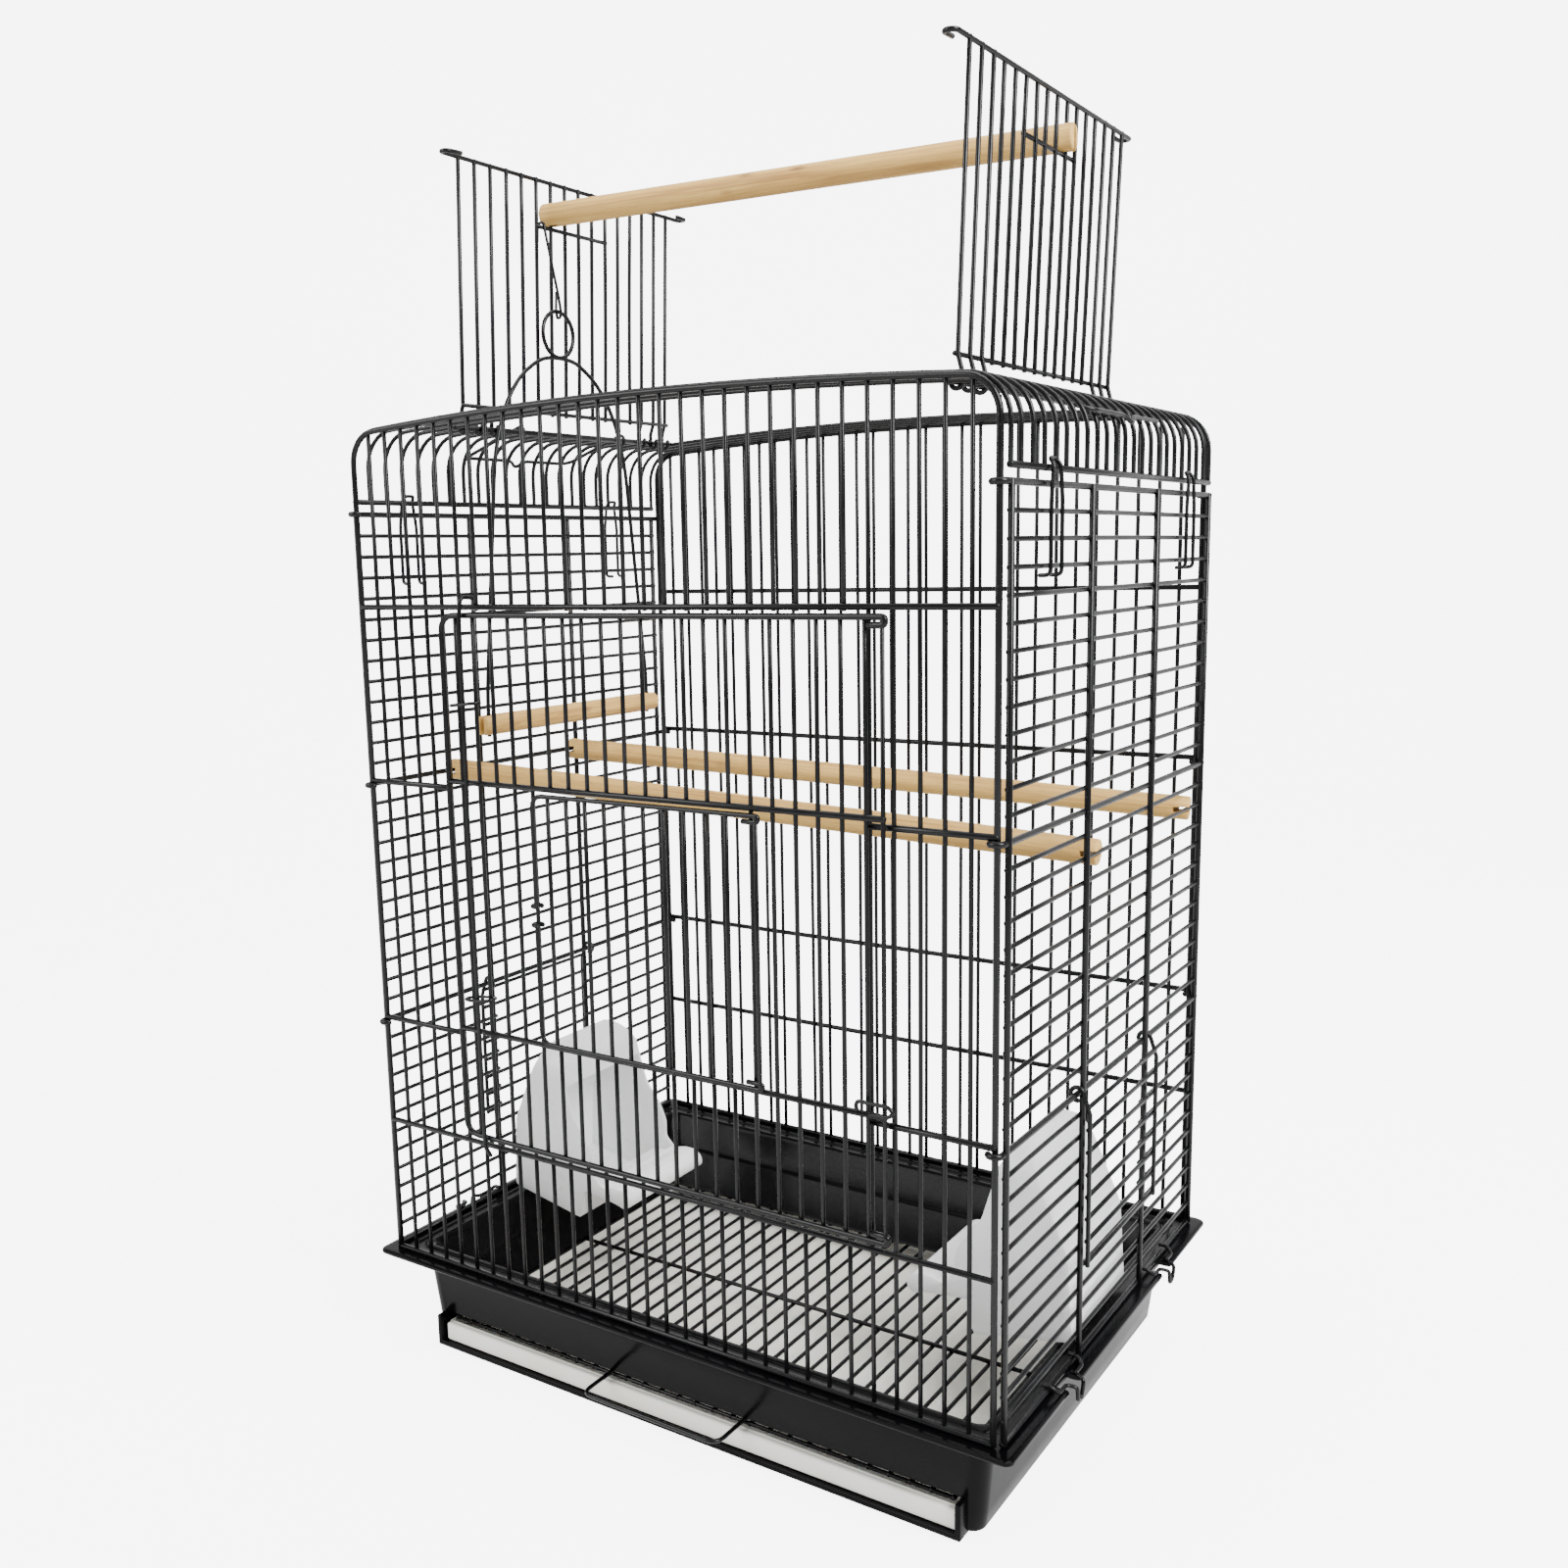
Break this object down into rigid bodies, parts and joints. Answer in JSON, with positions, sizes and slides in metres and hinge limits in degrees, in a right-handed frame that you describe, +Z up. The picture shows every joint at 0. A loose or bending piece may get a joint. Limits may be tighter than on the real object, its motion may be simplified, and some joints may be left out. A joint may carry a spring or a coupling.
{
  "type": "bird cage",
  "caption": "Rectangular wire bird cage on a plastic base, with an open play top, swing, wooden perches, outside feeder doors and hooded cups, a front door with a smaller door in it, and a slide-out tray.",
  "frame": {"origin": "on the floor under the middle of the cage", "axes": "+X to the right along the front, -Y towards the viewer at the front, +Z up"},
  "size_m": [0.4864, 0.351, 0.8045],
  "materials": {
    "black_wire": "gloss powder coat",
    "base_plastic": "gloss",
    "tray_plastic": "satin",
    "cup_plastic": "milky, slightly translucent",
    "perch_wood": "sanded, unvarnished"
  },
  "bodies": {
    "cage": {"base_frame": "base_plastic", "front_panel": "black_wire", "back_panel": "black_wire", "right_side_panel": "black_wire", "left_side_panel": "black_wire", "roof_panel": "black_wire", "front_door_hinge_rod": "black_wire", "right_feeder_cup": "cup_plastic", "left_feeder_cup": "cup_plastic", "front_perch": "perch_wood", "rear_perch": "perch_wood", "play_top_perch": "perch_wood"},
    "front_door": {"front_door": "black_wire"},
    "small_door": {"small_door": "black_wire"},
    "front_door_catch": {"front_door_catch": "black_wire"},
    "slide_tray": {"slide_tray": "tray_plastic"},
    "floor_grate": {"floor_grate": "black_wire", "grate_pull_handle": "black_wire"},
    "swing_hanger": {"swing_hanger": "black_wire"},
    "swing": {"swing_frame": "black_wire", "swing_perch": "perch_wood"},
    "right_roof_flap": {"right_roof_flap": "black_wire"},
    "right_carry_handle": {"right_carry_handle": "black_wire"},
    "right_feeder_door": {"right_feeder_door": "black_wire"},
    "right_front_roof_clip": {"right_front_roof_clip": "black_wire"},
    "right_rear_roof_clip": {"right_rear_roof_clip": "black_wire"},
    "right_front_base_clip": {"right_front_base_clip": "black_wire"},
    "right_rear_base_clip": {"right_rear_base_clip": "black_wire"},
    "left_roof_flap": {"left_roof_flap": "black_wire"},
    "left_carry_handle": {"left_carry_handle": "black_wire"},
    "left_feeder_door": {"left_feeder_door": "black_wire"},
    "left_front_roof_clip": {"left_front_roof_clip": "black_wire"},
    "left_rear_roof_clip": {"left_rear_roof_clip": "black_wire"},
    "left_front_base_clip": {"left_front_base_clip": "black_wire"},
    "left_rear_base_clip": {"left_rear_base_clip": "black_wire"}
  },
  "joints": [
    {"name": "front_door_hinge", "type": "hinge", "parent": "cage", "child": "front_door", "pos_m": [-0.1306, -0.1725, 0.345], "axis": [0, 0, -1], "range_deg": [0, 110]},
    {"name": "small_door_hinge", "type": "hinge", "parent": "front_door", "child": "small_door", "pos_m": [-0.07984, -0.168, 0.331], "axis": [0, 0, -1], "range_deg": [0, 90]},
    {"name": "front_door_catch_slide", "type": "slide", "parent": "front_door", "child": "front_door_catch", "axis": [1, 0, 0], "range_m": [0, 0.0045]},
    {"name": "slide_tray_slide", "type": "slide", "parent": "cage", "child": "slide_tray", "axis": [0, -1, 0], "range_m": [0, 0.28]},
    {"name": "floor_grate_slide", "type": "slide", "parent": "cage", "child": "floor_grate", "axis": [0, -1, 0], "range_m": [0, 0.28]},
    {"name": "right_roof_flap_hinge", "type": "hinge", "parent": "cage", "child": "right_roof_flap", "pos_m": [0.177, 0, 0.6358], "axis": [0, 1, 0], "range_deg": [-1, 40]},
    {"name": "right_carry_handle_hinge", "type": "hinge", "parent": "cage", "child": "right_carry_handle", "pos_m": [0.177, 0, 0.6358], "axis": [0, -1, 0], "range_deg": [0, 60]},
    {"name": "right_feeder_door_hinge", "type": "hinge", "parent": "cage", "child": "right_feeder_door", "pos_m": [0.229, 0, 0.2384], "axis": [0, -1, 0], "range_deg": [0, 90]},
    {"name": "right_front_roof_clip_hinge", "type": "hinge", "parent": "cage", "child": "right_front_roof_clip", "pos_m": [0.227, -0.111, 0.535], "axis": [0, 1, 0], "range_deg": [0, 20]},
    {"name": "right_rear_roof_clip_hinge", "type": "hinge", "parent": "cage", "child": "right_rear_roof_clip", "pos_m": [0.227, 0.111, 0.535], "axis": [0, 1, 0], "range_deg": [0, 20]},
    {"name": "right_front_base_clip_hinge", "type": "hinge", "parent": "cage", "child": "right_front_base_clip", "pos_m": [0.236, -0.08, 0.0736], "axis": [0, 1, 0], "range_deg": [0, 30]},
    {"name": "right_rear_base_clip_hinge", "type": "hinge", "parent": "cage", "child": "right_rear_base_clip", "pos_m": [0.236, 0.086, 0.0736], "axis": [0, 1, 0], "range_deg": [0, 30]},
    {"name": "left_roof_flap_hinge", "type": "hinge", "parent": "cage", "child": "left_roof_flap", "pos_m": [-0.177, 0, 0.6358], "axis": [0, -1, 0], "range_deg": [-1, 1]},
    {"name": "left_carry_handle_hinge", "type": "hinge", "parent": "cage", "child": "left_carry_handle", "pos_m": [-0.177, 0, 0.6358], "axis": [0, 1, 0], "range_deg": [0, 60]},
    {"name": "left_feeder_door_hinge", "type": "hinge", "parent": "cage", "child": "left_feeder_door", "pos_m": [-0.229, 0, 0.2384], "axis": [0, 1, 0], "range_deg": [0, 90]},
    {"name": "left_front_roof_clip_hinge", "type": "hinge", "parent": "cage", "child": "left_front_roof_clip", "pos_m": [-0.227, -0.111, 0.535], "axis": [0, -1, 0], "range_deg": [0, 20]},
    {"name": "left_rear_roof_clip_hinge", "type": "hinge", "parent": "cage", "child": "left_rear_roof_clip", "pos_m": [-0.227, 0.111, 0.535], "axis": [0, -1, 0], "range_deg": [0, 20]},
    {"name": "left_front_base_clip_hinge", "type": "hinge", "parent": "cage", "child": "left_front_base_clip", "pos_m": [-0.236, -0.08, 0.0736], "axis": [0, -1, 0], "range_deg": [0, 30]},
    {"name": "left_rear_base_clip_hinge", "type": "hinge", "parent": "cage", "child": "left_rear_base_clip", "pos_m": [-0.236, 0.086, 0.0736], "axis": [0, -1, 0], "range_deg": [0, 30]},
    {"name": "swing_hanger_pivot", "type": "hinge", "parent": "left_roof_flap", "child": "swing_hanger", "pos_m": [-0.1715, -0.0316, 0.773], "axis": [0, -1, 0], "range_deg": [0, 8]},
    {"name": "swing_pivot", "type": "hinge", "parent": "swing_hanger", "child": "swing", "pos_m": [-0.168, -0.022, 0.7185], "axis": [0, -1, 0], "range_deg": [-1, 10]}
  ]
}
